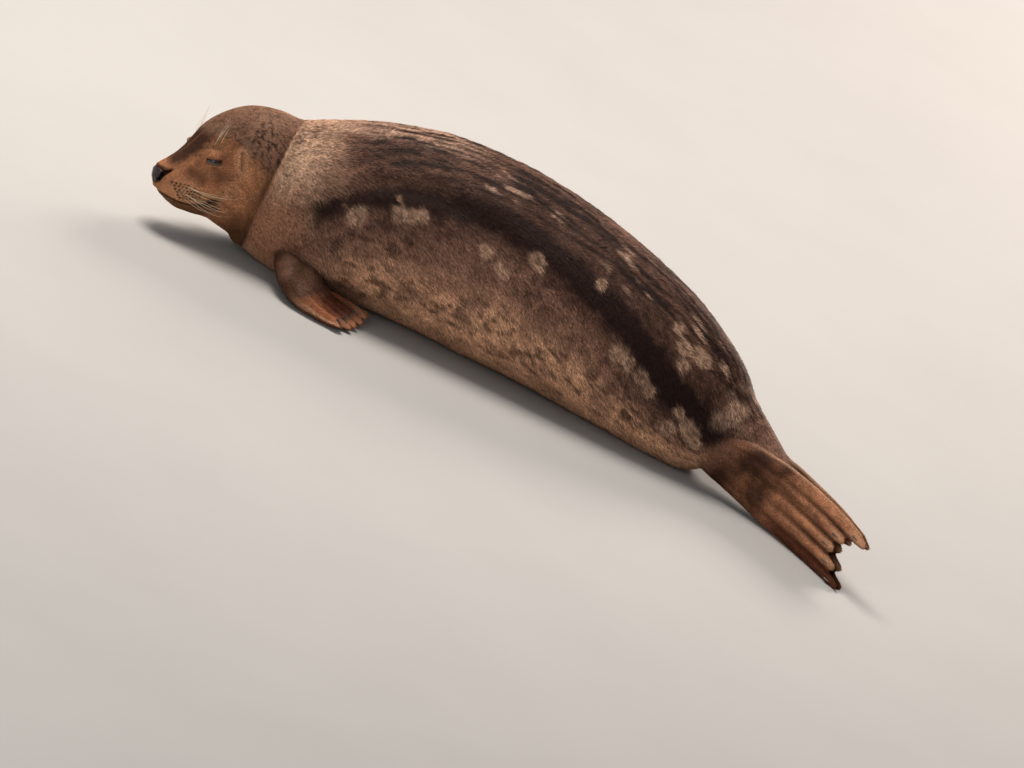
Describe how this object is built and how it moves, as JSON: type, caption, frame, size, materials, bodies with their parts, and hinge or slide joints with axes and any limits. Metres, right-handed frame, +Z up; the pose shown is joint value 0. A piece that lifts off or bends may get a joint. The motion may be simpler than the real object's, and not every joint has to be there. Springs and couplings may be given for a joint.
{
  "type": "harbor seal",
  "caption": "Life-size still model of a harbor seal asleep on its belly, head low and turned left, fore flippers folded, hind flippers sole to sole.",
  "frame": {"origin": "on the flat under the belly, on the floor, near the middle of the body", "axes": "+X towards the tail, +Y to the seal's right side, +Z up"},
  "size_m": [1.5364, 0.5939, 0.369],
  "materials": {
    "coat": "short flat fur, dark on the back and pale below",
    "claw": "polished dark horn",
    "nose": "bare damp skin",
    "eye": "wet, very dark",
    "whisker": "translucent pale bristle"
  },
  "bodies": {
    "root": {"head": "coat", "lower_jaw": "coat", "neck": "coat", "chest": "coat", "belly": "coat", "loin": "coat", "rump": "coat", "tail": "coat", "nose": "nose", "eye_left": "eye", "eye_right": "eye", "fore_flipper_left": "coat", "fore_flipper_left_claw_1": "claw", "fore_flipper_left_claw_2": "claw", "fore_flipper_left_claw_3": "claw", "fore_flipper_left_claw_4": "claw", "fore_flipper_left_claw_5": "claw", "fore_flipper_right": "coat", "fore_flipper_right_claw_1": "claw", "fore_flipper_right_claw_2": "claw", "fore_flipper_right_claw_3": "claw", "fore_flipper_right_claw_4": "claw", "fore_flipper_right_claw_5": "claw", "hind_flipper_left": "coat", "hind_flipper_left_claw_1": "claw", "hind_flipper_left_claw_2": "claw", "hind_flipper_left_claw_3": "claw", "hind_flipper_left_claw_4": "claw", "hind_flipper_left_claw_5": "claw", "hind_flipper_right": "coat", "hind_flipper_right_claw_1": "claw", "hind_flipper_right_claw_2": "claw", "hind_flipper_right_claw_3": "claw", "hind_flipper_right_claw_4": "claw", "hind_flipper_right_claw_5": "claw"}
  },
  "joints": []
}
